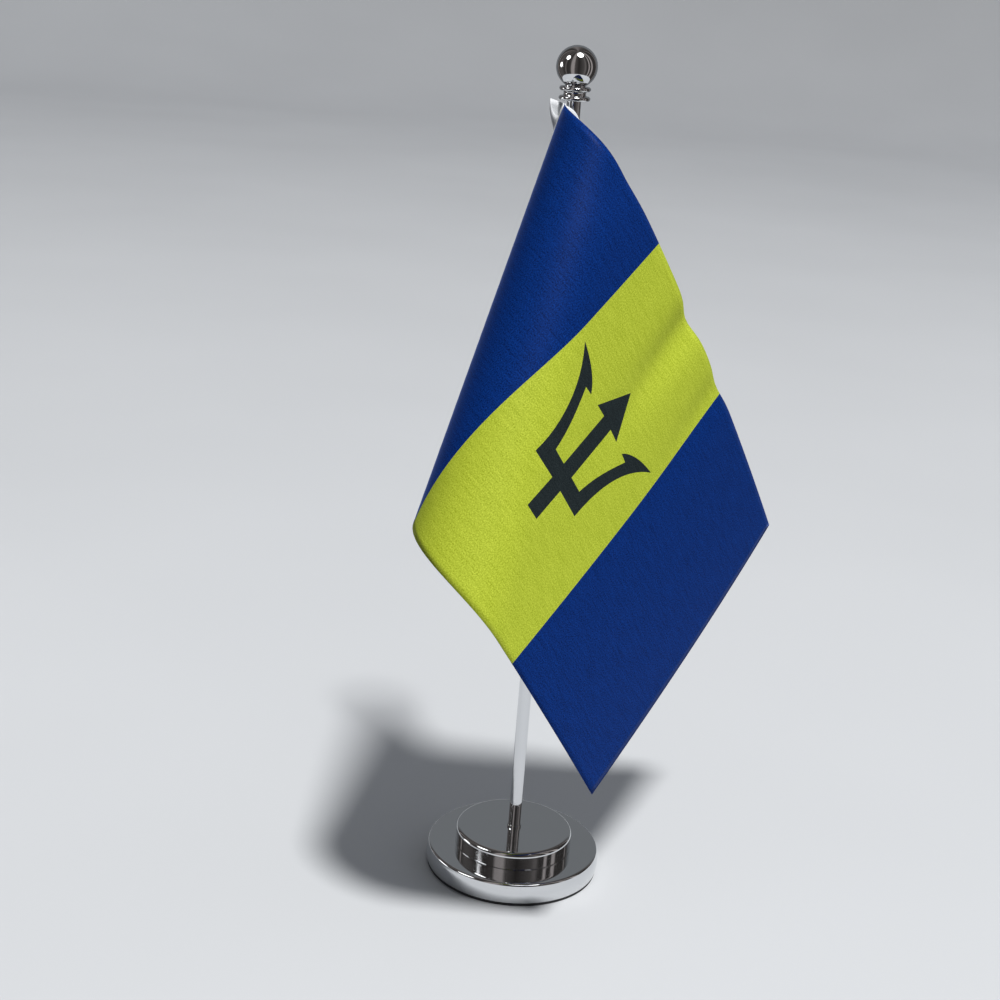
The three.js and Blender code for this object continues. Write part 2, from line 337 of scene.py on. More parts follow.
def buildWeaveGroup(shape):
    # warp and weft ribs on the unrolled cloth, with the thread-to-thread unevenness of printed polyester
    group, start, end = newGroup("clothWeave", ("Thread Pitch", "Slub", "Fleck"), ("Height", "Shade"))
    pitch = start.outputs["Thread Pitch"]
    coords = group.nodes.new("ShaderNodeUVMap")
    coords.uv_map = "clothPlan"
    split = group.nodes.new("ShaderNodeSeparateXYZ")
    group.links.new(coords.outputs["UV"], split.inputs[0])
    turns = addMath(group, "DIVIDE", 2 * math.pi, pitch)
    warp = addMath(group, "SINE", addMath(group, "MULTIPLY", split.outputs["X"], turns))
    weft = addMath(group, "SINE", addMath(group, "MULTIPLY", split.outputs["Y"], turns))
    woven = addMath(group, "MULTIPLY", warp, weft)
    fleckScale = addMath(group, "DIVIDE", shape["fleckScale"], pitch)
    fleck = addNoise(group, coords.outputs["UV"], fleckScale, shape["fleckDetail"], shape["fleckRoughness"])
    stretched = group.nodes.new("ShaderNodeMapping")
    stretched.inputs["Scale"].default_value = shape["slubStretch"]
    group.links.new(coords.outputs["UV"], stretched.inputs["Vector"])
    slubScale = addMath(group, "DIVIDE", shape["slubScale"], pitch)
    slub = addNoise(group, stretched.outputs["Vector"], slubScale, 1.0)
    slubShift = addMath(group, "MULTIPLY", addMath(group, "SUBTRACT", slub, 0.5), start.outputs["Slub"])
    fleckShift = addMath(group, "MULTIPLY", addMath(group, "SUBTRACT", fleck, 0.5), start.outputs["Fleck"])
    unevenness = addMath(group, "ADD", slubShift, fleckShift)
    height = addMath(group, "MULTIPLY_ADD", woven, shape["ribHeight"], unevenness)
    group.links.new(height, end.inputs["Height"])
    shade = addMath(group, "MULTIPLY_ADD", woven, shape["ribShade"], unevenness)
    shade = addMapRange(group, shade, -shape["shadeReach"], shape["shadeReach"])
    group.links.new(shade, end.inputs["Shade"])
    return group


def buildFinishGroup(shape):
    # polishing haze, hairline scratches and dust, in object space
    inputs = ("Base Roughness", "Haze", "Haze Size", "Scratches", "Dust")
    group, start, end = newGroup("metalFinish", inputs, ("Roughness", "Height", "Dull"))
    place = group.nodes.new("ShaderNodeTexCoord").outputs["Object"]
    geometry = group.nodes.new("ShaderNodeNewGeometry")
    haze = addNoise(group, place, start.outputs["Haze Size"], shape["hazeDetail"])
    hazeMask = addMapRange(group, haze, *shape["hazeMask"])
    streaks = group.nodes.new("ShaderNodeMapping")
    streaks.inputs["Scale"].default_value = shape["scratchStretch"]
    streaks.inputs["Rotation"].default_value = shape["scratchTurn"]
    group.links.new(place, streaks.inputs["Vector"])
    scratch = addNoise(group, streaks.outputs["Vector"], shape["scratchScale"], 1.0)
    scratchMask = addMapRange(group, scratch, *shape["scratchMask"])
    facing = group.nodes.new("ShaderNodeSeparateXYZ")
    group.links.new(geometry.outputs["Normal"], facing.inputs[0])
    speckMask = addMapRange(group, addNoise(group, place, shape["speckScale"], 1.0), *shape["speckMask"])
    upward = addMapRange(group, facing.outputs["Z"], *shape["dustFacing"])
    dust = addMath(group, "MULTIPLY", addMath(group, "MULTIPLY", speckMask, upward), start.outputs["Dust"])
    hazed = addMath(group, "MULTIPLY_ADD", hazeMask, start.outputs["Haze"], start.outputs["Base Roughness"])
    scratched = addMath(group, "MULTIPLY_ADD", scratchMask, start.outputs["Scratches"], hazed)
    group.links.new(addMath(group, "ADD", scratched, dust), end.inputs["Roughness"])
    cut = addMath(group, "MULTIPLY", scratchMask, shape["scratchDepth"])
    group.links.new(addMath(group, "SUBTRACT", dust, cut), end.inputs["Height"])
    dull = addMath(group, "MAXIMUM", dust, addMath(group, "MULTIPLY", hazeMask, start.outputs["Haze"]))
    group.links.new(dull, end.inputs["Dull"])
    return group


def buildGrainGroup(shape):
    # cast skin, foam pores or thread fibres, by scale and contrast
    group, start, end = newGroup("castGrain", ("Size", "Contrast"), ("Height", "Shade"))
    place = group.nodes.new("ShaderNodeTexCoord").outputs["Object"]
    fine = addNoise(group, place, start.outputs["Size"], shape["fineDetail"], shape["fineRoughness"])
    broad = addNoise(group, place, addMath(group, "MULTIPLY", start.outputs["Size"], shape["broadScale"]))
    both = addMath(group, "MULTIPLY_ADD", broad, 0.5, addMath(group, "MULTIPLY", fine, 0.5))
    spread = addMath(group, "MULTIPLY", start.outputs["Contrast"], shape["spread"])
    low = addMath(group, "SUBTRACT", 0.5, spread)
    high = addMath(group, "ADD", 0.5, spread)
    group.links.new(fine, end.inputs["Height"])
    group.links.new(addMapRange(group, both, low, high), end.inputs["Shade"])
    return group


weaveGroup = buildWeaveGroup(weaveShape)
finishGroup = buildFinishGroup(finishShape)
grainGroup = buildGrainGroup(grainShape)


# materials

clothSetup = {
    "blueInk": {
        "dark": (0.0, 0.006, 0.046), "light": (0.003, 0.038, 0.235), "sheenTint": (0.1, 0.16, 0.42),
        "sheen": 0.3, "roughness": 0.5, "gloss": 0.05,
    },
    "limeInk": {
        "dark": (0.26, 0.325, 0.01), "light": (0.54, 0.62, 0.06), "sheenTint": (0.5, 0.6, 0.1),
        "sheen": 0.04, "roughness": 0.6, "gloss": 0.12,
    },
    "blackInk": {
        "dark": (0.004, 0.007, 0.009), "light": (0.022, 0.032, 0.034), "sheenTint": (0.1, 0.12, 0.12),
        "sheen": 0.08, "roughness": 0.6, "gloss": 0.12,
    },
    "whitePolyester": {
        "dark": (0.66, 0.68, 0.7), "light": (0.86, 0.87, 0.88), "sheenTint": (0.86, 0.87, 0.88),
        "sheen": 0.05, "roughness": 0.62, "gloss": 0.2,
    },
}

threadSetup = {
    "weave": {"Thread Pitch": 0.00042, "Slub": 0.2, "Fleck": 1.0},
    "bump": 0.25,
    "bumpDepth": 0.00005,
    "sheenRoughness": 0.35,
}

metalSetup = {
    "chromePlate": {
        "dark": (0.55, 0.56, 0.58), "light": (0.72, 0.73, 0.745), "bump": 0.25,
        "finish": {"Base Roughness": 0.035, "Haze": 0.05, "Haze Size": 70.0, "Scratches": 0.05, "Dust": 0.16},
    },
    "zincSteel": {
        "dark": (0.34, 0.35, 0.36), "light": (0.6, 0.61, 0.62), "bump": 0.3,
        "finish": {"Base Roughness": 0.3, "Haze": 0.2, "Haze Size": 400.0, "Scratches": 0.2, "Dust": 0.0},
    },
    "turnedBrass": {
        "dark": (0.42, 0.3, 0.12), "light": (0.72, 0.55, 0.26), "bump": 0.3,
        "finish": {"Base Roughness": 0.25, "Haze": 0.2, "Haze Size": 300.0, "Scratches": 0.25, "Dust": 0.0},
    },
}
metalBumpDepth = 0.00004

grainSetup = {
    "castIron": {
        "dark": (0.025, 0.025, 0.027), "light": (0.09, 0.09, 0.095),
        "grain": {"Size": 900.0, "Contrast": 0.6},
        "roughness": 0.6, "metallic": 0.7, "bump": 0.5, "bumpDepth": 0.0003,
    },
    "sewingThread": {
        "dark": (0.62, 0.64, 0.66), "light": (0.85, 0.86, 0.87),
        "grain": {"Size": 5000.0, "Contrast": 0.4},
        "roughness": 0.7, "metallic": 0.0, "bump": 0.3, "bumpDepth": 0.00005,
    },
    "blackFoam": {
        "dark": (0.008, 0.008, 0.009), "light": (0.03, 0.03, 0.032),
        "grain": {"Size": 1500.0, "Contrast": 0.5},
        "roughness": 0.85, "metallic": 0.0, "bump": 0.6, "bumpDepth": 0.0003,
    },
}


def useGroup(tree, group, values):
    node = tree.nodes.new("ShaderNodeGroup")
    node.node_tree = group
    for label, value in values.items():
        node.inputs[label].default_value = value
    return node


def addBump(tree, shader, height, strength, distance):
    bump = tree.nodes.new("ShaderNodeBump")
    bump.inputs["Strength"].default_value = strength
    bump.inputs["Distance"].default_value = distance
    tree.links.new(height, bump.inputs["Height"])
    tree.links.new(bump.outputs["Normal"], shader.inputs["Normal"])


def makeCloth(name):
    values = clothSetup[name]
    material, tree, shader = newMaterial(name)
    weave = useGroup(tree, weaveGroup, threadSetup["weave"])
    addTwoTone(tree, shader, weave.outputs["Shade"], values["dark"], values["light"])
    addBump(tree, shader, weave.outputs["Height"], threadSetup["bump"], threadSetup["bumpDepth"])
    shader.inputs["Roughness"].default_value = values["roughness"]
    shader.inputs["Specular IOR Level"].default_value = values["gloss"]
    shader.inputs["Sheen Weight"].default_value = values["sheen"]
    shader.inputs["Sheen Roughness"].default_value = threadSetup["sheenRoughness"]
    shader.inputs["Sheen Tint"].default_value = (*values["sheenTint"], 1)
    return material


def makeMetal(name):
    values = metalSetup[name]
    material, tree, shader = newMaterial(name)
    finish = useGroup(tree, finishGroup, values["finish"])
    shader.inputs["Metallic"].default_value = 1
    addTwoTone(tree, shader, finish.outputs["Dull"], values["light"], values["dark"])
    tree.links.new(finish.outputs["Roughness"], shader.inputs["Roughness"])
    addBump(tree, shader, finish.outputs["Height"], values["bump"], metalBumpDepth)
    return material


def makeGrained(name):
    values = grainSetup[name]
    material, tree, shader = newMaterial(name)
    grain = useGroup(tree, grainGroup, values["grain"])
    addTwoTone(tree, shader, grain.outputs["Shade"], values["dark"], values["light"])
    addBump(tree, shader, grain.outputs["Height"], values["bump"], values["bumpDepth"])
    shader.inputs["Roughness"].default_value = values["roughness"]
    shader.inputs["Metallic"].default_value = values["metallic"]
    return material


blueInk, limeInk, blackInk, whitePolyester = (makeCloth(name) for name in clothSetup)
chromePlate, zincSteel, turnedBrass = (makeMetal(name) for name in metalSetup)
castIron, sewingThread, blackFoam = (makeGrained(name) for name in grainSetup)
print("materials made")


# turned pieces

baseTier = {
    "radius": 35.0, "low": 1.2, "high": 9.5, "edge": 1.1, "foot": 0.3,
    "bulge": 0.5, "sideSteps": 16, "wall": 0.8, "bore": 1.7,
}
drumTier = {
    "radius": 23.5, "low": 9.5, "high": 16.6, "edge": 1.8, "foot": 0.35,
    "bulge": 0.0, "sideSteps": 2, "wall": 0.8, "bore": 1.7,
}
footPad = {"radius": 34.3, "thickness": 1.2, "rounding": 0.3}
poleShape = {"radius": 2.5, "bore": 2.1, "low": 16.6, "high": 305.2}
collarShape = {"radius": 2.9, "height": 1.0, "edge": 0.15, "gap": 0.05}
finialShape = {
    "ballRadius": 7.4, "ballFoot": 310.5, "ballFootRadius": 3.7, "bore": 1.55, "boreTop": 314.3,
    "neckRadius": 4.3, "neckWaist": 0.3, "ringRadius": 5.65, "ringThickness": 1.6, "ringSpacing": 3.3,
    "waistSteps": 8, "ringSteps": 14, "ballSteps": 48,
}
sharpAngle = 32
edgeMargin = 0.12       # in mm
onAxis = 1e-6


def arcPoints(radius, height, size, fromAngle, toAngle, steps):
    angles = [math.radians(fromAngle + (toAngle - fromAngle) * i / steps) for i in range(steps + 1)]
    return [(radius + size * math.cos(a), height + size * math.sin(a)) for a in angles]


def holdEdges(outline):
    # keeps the shading of a long flat from bleeding into the curve beside it
    held = [outline[0]]
    for (r0, z0), (r1, z1) in zip(outline, outline[1:]):
        length = math.hypot(r1 - r0, z1 - z0)
        if length > 8 * edgeMargin:
            for share in (edgeMargin / length, 1 - edgeMargin / length):
                held.append((r0 + (r1 - r0) * share, z0 + (z1 - z0) * share))
        held.append((r1, z1))
    return held


def turnPiece(name, outline, steps, material):
    # outline: closed loop of (radius, height) in mm, or one that starts and ends on the axis
    closed = outline[0] == outline[-1]
    points = holdEdges(outline)
    if closed:
        points = points[:-1]
    mesh = bmesh.new()
    rings = []
    angles = [2 * math.pi * i / steps for i in range(steps)]
    for radius, height in points:
        r, z = radius * mm, height * mm
        if radius < onAxis:
            rings.append([mesh.verts.new((0, 0, z))] * steps)
        else:
            rings.append([mesh.verts.new((r * math.cos(a), r * math.sin(a), z)) for a in angles])
    following = rings[1:] + rings[:1] if closed else rings[1:]
    for lower, upper in zip(rings, following):
        for i in range(steps):
            j = (i + 1) % steps
            corners = []
            for vert in (lower[i], lower[j], upper[j], upper[i]):
                if vert not in corners:
                    corners.append(vert)
            if len(corners) > 2:
                mesh.faces.new(corners)
    bmesh.ops.recalc_face_normals(mesh, faces=mesh.faces)
    data = bpy.data.meshes.new(name)
    mesh.to_mesh(data)
    mesh.free()
    data.shade_smooth()
    data.set_sharp_from_angle(angle=math.radians(sharpAngle))
    data.materials.append(material)
    return addItem(name, data)


def tierOutline(tier):
    # a pressed cover, open underneath, with a soft top edge and a foot turned slightly in
    rim = tier["radius"] - tier["bulge"]
    foot = tier["foot"]
    sideLow = tier["low"] + foot
    sideHeight = (tier["high"] - tier["edge"] - sideLow) / 2
    steps = tier["sideSteps"]
    outer = arcPoints(rim - foot, sideLow, foot, -90, 0, 5)[:-1]
    for i in range(steps + 1):
        across = 2 * i / steps - 1
        bulge = tier["bulge"] * (1 - across * across)
        outer.append((rim + bulge, sideLow + sideHeight * (across + 1)))
    outer += arcPoints(rim - tier["edge"], tier["high"] - tier["edge"], tier["edge"], 0, 90, 12)[1:]
    inner = [
        (tier["bore"], tier["high"]),
        (tier["bore"], tier["high"] - tier["wall"]),
        (rim - tier["edge"], tier["high"] - tier["wall"]),
        (rim - tier["wall"], tier["high"] - tier["edge"]),
        (rim - tier["wall"], tier["low"]),
    ]
    return outer + inner + [outer[0]]


def makeStand():
    lower = turnPiece("lower_tier", tierOutline(baseTier), 192, chromePlate)
    upper = turnPiece("upper_tier", tierOutline(drumTier), 160, chromePlate)
    rounding = footPad["rounding"]
    padOutline = [(0, 0)]
    padOutline += arcPoints(footPad["radius"] - rounding, rounding, rounding, -90, 0, 4)
    padOutline += [(footPad["radius"], footPad["thickness"]), (0, footPad["thickness"])]
    pad = turnPiece("foam_foot", padOutline, 128, blackFoam)
    bore, edge = poleShape["radius"] + collarShape["gap"], collarShape["edge"]
    collar = [(bore, poleShape["low"]), (collarShape["radius"], poleShape["low"])]
    collarTop = poleShape["low"] + collarShape["height"]
    collar += arcPoints(collarShape["radius"] - edge, collarTop - edge, edge, 0, 90, 4)
    collar += [(bore, collarTop), collar[0]]
    footRing = turnPiece("foot_collar", collar, 64, chromePlate)
    poleOutline = [
        (poleShape["bore"], poleShape["low"]), (poleShape["radius"], poleShape["low"]),
        (poleShape["radius"], poleShape["high"]), (poleShape["bore"], poleShape["high"]),
        (poleShape["bore"], poleShape["low"]),
    ]
    pole = turnPiece("pole_shaft", poleOutline, 64, chromePlate)
    for piece, node, slotName in (
        (lower, "base_cover", "chrome"), (upper, "drum_cover", "chrome"), (pad, "foot_pad", "foam"),
        (footRing, "pole_collar", "chrome"), (pole, "pole_tube", "chrome"),
    ):
        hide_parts(node)
        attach(piece, "stand")


def makeFinial():
    shape = finialShape
    low = poleShape["high"]
    rim = shape["ringThickness"] / 2
    upperRing = low + shape["ringSpacing"]
    lowerRingTop = low + shape["ringThickness"]
    neck = [(shape["bore"], low)]
    neck += arcPoints(shape["ringRadius"] - rim, low + rim, rim, -90, 90, shape["ringSteps"])
    for i in range(shape["waistSteps"] + 1):  # the waist between the rings
        share = i / shape["waistSteps"]
        across = 2 * share - 1
        height = lowerRingTop + (upperRing - lowerRingTop) * share
        neck.append((shape["neckRadius"] - shape["neckWaist"] * (1 - across * across), height))
    neck += arcPoints(shape["ringRadius"] - rim, upperRing + rim, rim, -90, 90, shape["ringSteps"])
    neck += [
        (shape["ballFootRadius"], upperRing + shape["ringThickness"]),
        (shape["ballFootRadius"], shape["ballFoot"]),
        (shape["bore"], shape["ballFoot"]), (shape["bore"], low),
    ]
    spool = turnPiece("finial_spool", neck, 96, chromePlate)
    rise = math.sqrt(shape["ballRadius"] ** 2 - shape["ballFootRadius"] ** 2)
    centre = shape["ballFoot"] + rise
    start = -math.degrees(math.atan2(rise, shape["ballFootRadius"]))
    outline = [(shape["bore"], shape["ballFoot"])]
    outline += arcPoints(0, centre, shape["ballRadius"], start, 90, shape["ballSteps"])[:-1]
    outline += [
        (0, centre + shape["ballRadius"]), (0, shape["boreTop"]), (shape["bore"], shape["boreTop"]),
        (shape["bore"], shape["ballFoot"]),
    ]
    ball = turnPiece("finial_globe", outline, 128, chromePlate)
    for piece, node in ((spool, "finial_neck"), (ball, "finial_ball")):
        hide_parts(node)
        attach(piece, "finial")


def finishHiddenPieces():
    for names, material in (
        (("base_weight", "drum_weight"), castIron),
        (("base_screw", "spring_washer", "flat_washer", "finial_stud"), zincSteel),
        (("pole_foot_plug", "pole_head_plug"), turnedBrass),
    ):
        for name in names:
            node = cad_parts[name]
            node.data.materials.clear()
            node.data.materials.append(material)


makeStand()
makeFinial()
finishHiddenPieces()
print("stand and finial turned")


# flag

flagShape = {
    "fly": 210.0,
    "hoist": 140.0,
    "thickness": 0.22,
    "step": 2.4,                # mesh spacing on the unrolled cloth
    "clearance": 0.3,           # share of that spacing kept free beside the emblem's edge
    "top": 305.0,
    "seamRadius": 11.2,         # the hoist seam, from the pole's axis
    "seamAngle": 222.6,
    "backHeading": 234.5,       # direction of the sheet behind the roll
    "tipBehind": 195.6,         # tip of the cones that the cloth follows, on the unrolled cloth
    "tipAbove": 382.5,
    "rollStart": 25.27,
    "rollEnd": 31.82,
    "rollHalfAngle": 2.24,
    "frontHalfAngle": 52.8,
    "ripples": [                # shallow valleys that run in from the top edge
        {"along": 104.5, "lean": 0.06, "width": 5.2, "depth": 3.1, "fade": 42.0},
        {"along": 136.0, "lean": 0.08, "width": 5.0, "depth": 1.6, "fade": 40.0},
        {"along": 40.0, "lean": 0.1, "width": 8.0, "depth": 1.6, "fade": 18.0},
    ],
}

clothSim = {
    "step": 3.5,
    "frames": 16,
    "mass": 0.12,
    "tension": 30.0,
    "bending": 0.4,
    "hold": 0.55,               # how firmly the printed cloth keeps its hang
    "pinning": 0.6,
    "airDamping": 2.0,
    "quality": 8,
    "most": 2.0,                # the furthest that a point may settle, in mm
}

printShape = {
    "stripe": 70.0,
    "centre": 104.6,
    "armHalf": 3.25,            # half width of shaft
    "shaftEnd": 102.4,
    "barTop": 81.6,
    "barLow": 88.4,
    "barReach": 15.2,
    "armInner": 9.8,
    "tip": (30.6, 49.2),
    "barb": (13.7, 57.6),
    "notch": (17.5, 58.0),
    "arrowTip": 40.8,
    "arrowBarb": (8.6, 57.2),
    "arrowCut": 0.4,            # how far the arrow's barbs hang below the shaft's shoulders
    "innerBow": (12.4, 70.6),   # middle points of the three curves
    "barbBow": (20.2, 52.6),
    "outerBow": (19.0, 65.6),
}


def turnAbout(vectors, axis, angles):
    cosine, sine = np.cos(angles)[..., None], np.sin(angles)[..., None]
    along = (vectors * axis).sum(-1, keepdims=True)
    return vectors * cosine + np.cross(axis, vectors) * sine + axis * along * (1 - cosine)


def carryRound(ruling, normal, halfAngle, angle):
    # takes rulings and normals round a cone, by their angle on the unrolled cloth
    axis = math.cos(halfAngle) * ruling - math.sin(halfAngle) * normal
    turn = -angle / math.sin(halfAngle)
    return turnAbout(ruling, axis, turn), turnAbout(normal, axis, turn)


def hangCloth(along, down):
    # places and normals of points of the unrolled cloth: flat, rolled once, and nearly flat again
    shape = flagShape
    up = np.array([0.0, 0.0, 1.0])
    headingAngle, seamAngle = math.radians(shape["backHeading"]), math.radians(shape["seamAngle"])
    heading = np.array([math.cos(headingAngle), math.sin(headingAngle), 0])
    seamTop = shape["seamRadius"] * np.array([math.cos(seamAngle), math.sin(seamAngle), 0])
    tip = seamTop + (shape["top"] + shape["tipAbove"]) * up - shape["tipBehind"] * heading
    start, end = math.radians(shape["rollStart"]), math.radians(shape["rollEnd"])
    angle = np.arctan2(along + shape["tipBehind"], down + shape["tipAbove"])
    reach = np.hypot(along + shape["tipBehind"], down + shape["tipAbove"])
    flatAngle = np.minimum(angle, start)[..., None]
    ruling = np.sin(flatAngle) * heading - np.cos(flatAngle) * up
    normal = np.broadcast_to(np.cross(heading, up), ruling.shape)
    rolled = np.clip(angle, start, end) - start
    ruling, normal = carryRound(ruling, normal, math.radians(shape["rollHalfAngle"]), rolled)
    rest = np.maximum(angle - end, 0)
    ruling, normal = carryRound(ruling, normal, math.radians(shape["frontHalfAngle"]), rest)
    return tip + ruling * reach[..., None], normal


def rippleDepth(along, down):
    depth = np.zeros_like(along)
    for ripple in flagShape["ripples"]:
        away = (along - ripple["along"] - ripple["lean"] * down) / ripple["width"]
        depth += ripple["depth"] * np.exp(-away * away / 2 - (down / ripple["fade"]) ** 2)
    return depth


def curveBetween(first, middle, last, steps):
    # a quadratic curve through its middle point
    pull = [2 * m - (a + b) / 2 for a, m, b in zip(first, middle, last)]
    points = []
    for i in range(1, steps):
        t = i / steps
        points.append(tuple(
            (1 - t) ** 2 * a + 2 * t * (1 - t) * p + t * t * b for a, p, b in zip(first, pull, last)
        ))
    return points


def emblemOutline():
    # one half of the three-pronged spear, from the arrow's tip to the foot of its shaft, then mirrored
    shape = printShape
    shoulder = (shape["armHalf"], shape["arrowBarb"][1] - shape["arrowCut"])
    innerCorner = (shape["armInner"], shape["barTop"])
    outerCorner = (shape["barReach"], shape["barLow"])
    half = [(0, shape["arrowTip"]), shape["arrowBarb"], shoulder]
    half += [(shape["armHalf"], shape["barTop"]), innerCorner]
    half += curveBetween(innerCorner, shape["innerBow"], shape["notch"], 10)
    half += [shape["notch"], shape["barb"]]
    half += curveBetween(shape["barb"], shape["barbBow"], shape["tip"], 10)
    half.append(shape["tip"])
    half += curveBetween(shape["tip"], shape["outerBow"], outerCorner, 14)
    half += [outerCorner, (shape["armHalf"], shape["barLow"]), (shape["armHalf"], shape["shaftEnd"])]
    mirrored = [(-x, y) for x, y in reversed(half) if x > 0]
    return [(shape["centre"] + x, y) for x, y in half + mirrored]


def insideOutline(point, outline):
    x, y = point
    inside = False
    for (x0, y0), (x1, y1) in zip(outline, outline[1:] + outline[:1]):
        if (y0 > y) != (y1 > y) and x < (x1 - x0) * (y - y0) / (y1 - y0) + x0:
            inside = not inside
    return inside


def distanceToLines(points, segments):
    nearest = np.full(len(points), 1e9)
    for (x0, y0), (x1, y1) in segments:
        run = np.array([x1 - x0, y1 - y0])
        away = points - np.array([x0, y0])
        share = np.clip(away @ run / (run @ run), 0, 1)
        nearest = np.minimum(nearest, np.linalg.norm(away - share[:, None] * run, axis=1))
    return nearest


def planCloth():
    # triangles of the unrolled cloth, cut along every edge of the print
    shape = flagShape
    columns, rows = round(shape["fly"] / shape["step"] / 3) * 3, round(shape["hoist"] / shape["step"])
    across = np.linspace(0, shape["fly"], columns + 1)
    downward = np.linspace(0, shape["hoist"], rows + 1)
    outline = emblemOutline()
    segments = list(zip(outline, outline[1:] + outline[:1]))
    grid = np.array([(x, y) for x in across for y in downward])
    keep = distanceToLines(grid, segments) > shape["clearance"] * shape["step"]
    points = [Vector(p) for p in grid[keep]]
    edges = []
    for x in (0, columns // 3, 2 * columns // 3, columns):
        line = [i for i, p in enumerate(points) if abs(p.x - across[x]) < 1e-6]
        edges += list(zip(line, line[1:]))
    for y in (0, rows):
        line = [i for i, p in enumerate(points) if abs(p.y - downward[y]) < 1e-6]
        edges += list(zip(line, line[1:]))
    first = len(points)
    points += [Vector(p) for p in outline]
    edges += [(first + i, first + (i + 1) % len(outline)) for i in range(len(outline))]
    verts, _, faces, *_ = delaunay_2d_cdt(points, edges, [], 1, 1e-5)
    plan = np.array([tuple(v) for v in verts])
    inks = []
    for face in faces:
        middle = plan[list(face)].mean(0)
        ink = 1 if middle[0] // printShape["stripe"] == 1 else 0
        if ink == 1 and insideOutline(middle, outline):
            ink = 2
        inks.append(ink)
    return plan, faces, inks


def hangWithRipples(along, down):
    places, normals = hangCloth(along, down)
    return places - normals * rippleDepth(along, down)[..., None]


def settleCloth():
    # a short cloth simulation on a coarse copy; gives how far each of its points settles
    setup, shape = clothSim, flagShape
    columns, rows = round(shape["fly"] / setup["step"]), round(shape["hoist"] / setup["step"])
    along, down = np.meshgrid(
        np.linspace(0, shape["fly"], columns + 1), np.linspace(0, shape["hoist"], rows + 1), indexing="ij",
    )
    start = hangWithRipples(along, down).reshape(-1, 3) * mm
    faces = []
    for i in range(columns):
        for j in range(rows):
            a = i * (rows + 1) + j
            faces.append((a, a + 1, a + rows + 2, a + rows + 1))
    mesh = bpy.data.meshes.new("clothTrial")
    mesh.from_pydata(start.tolist(), [], faces)
    trial = addItem("clothTrial", mesh)
    trial.shape_key_add(name="hung")
    cut = trial.shape_key_add(name="asCut")
    flat = np.stack([along, down, np.zeros_like(along)], -1).reshape(-1, 3) * mm
    cut.data.foreach_set("co", flat.astype(np.float32).ravel())
    held = trial.vertex_groups.new(name="held")
    for index, u in enumerate(along.ravel()):
        held.add([index], 1.0 if u < setup["step"] / 2 else setup["hold"], "REPLACE")
    cloth = trial.modifiers.new("cloth", "CLOTH")
    values = cloth.settings
    values.quality = setup["quality"]
    values.mass = setup["mass"] * (setup["step"] * mm) ** 2
    values.tension_stiffness = values.compression_stiffness = setup["tension"]
    values.shear_stiffness = setup["tension"] / 2
    values.bending_stiffness = setup["bending"]
    values.vertex_group_mass = "held"
    values.pin_stiffness = setup["pinning"]
    values.rest_shape_key = cut
    values.air_damping = setup["airDamping"]
    cloth.collision_settings.use_collision = False
    scene = bpy.context.scene
    cloth.point_cache.frame_start, cloth.point_cache.frame_end = 1, setup["frames"]
    for number in range(1, setup["frames"] + 1):
        scene.frame_set(number)
    settled = trial.evaluated_get(bpy.context.evaluated_depsgraph_get()).to_mesh()
    found = np.zeros(len(start) * 3, dtype=np.float32)
    settled.vertices.foreach_get("co", found)
    bpy.data.objects.remove(trial)
    scene.frame_set(1)
    moved = (found.reshape(-1, 3) - start) / mm
    length = np.linalg.norm(moved, axis=1, keepdims=True)
    print("cloth settled by up to %.2f mm, %.2f mm on average" % (length.max(), length.mean()))
    moved *= np.minimum(1, setup["most"] / np.maximum(length, 1e-9))
    return moved.reshape(columns + 1, rows + 1, 3)


def sampleGrid(grid, along, down):
    # reads the coarse grid between its points
    x = np.clip(along / flagShape["fly"], 0, 1) * (grid.shape[0] - 1)
    y = np.clip(down / flagShape["hoist"], 0, 1) * (grid.shape[1] - 1)
    i = np.minimum(x.astype(int), grid.shape[0] - 2)
    j = np.minimum(y.astype(int), grid.shape[1] - 2)
    s, t = (x - i)[..., None], (y - j)[..., None]
    near = grid[i, j] * (1 - t) + grid[i, j + 1] * t
    far = grid[i + 1, j] * (1 - t) + grid[i + 1, j + 1] * t
    return near * (1 - s) + far * s


def makeFlagCloth(settled):
    plan, faces, inks = planCloth()
    places = hangWithRipples(plan[:, 0], plan[:, 1]) + sampleGrid(settled, plan[:, 0], plan[:, 1])
    mesh = bpy.data.meshes.new("printed_flag")
    mesh.from_pydata((places * mm).tolist(), [], [tuple(f) for f in faces])
    for material in (blueInk, limeInk, blackInk):
        mesh.materials.append(material)
    mesh.polygons.foreach_set("material_index", inks)
    layPlan(mesh, plan)
    mesh.shade_smooth()
    flag = addItem("printed_flag", mesh)
    thicken(flag, flagShape["thickness"])
    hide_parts("flag_panel")
    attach(flag, "flag")
    return flag


def layPlan(mesh, plan):
    layer = mesh.uv_layers.new(name="clothPlan")
    corners = np.zeros(len(mesh.loops), dtype=np.int32)
    mesh.loops.foreach_get("vertex_index", corners)
    layer.data.foreach_set("uv", (plan[corners] * mm).astype(np.float32).ravel())


def thicken(item, thickness):
    solidify = item.modifiers.new("thickness", "SOLIDIFY")
    solidify.thickness = thickness * mm
    solidify.offset = 0


# pocket round the pole

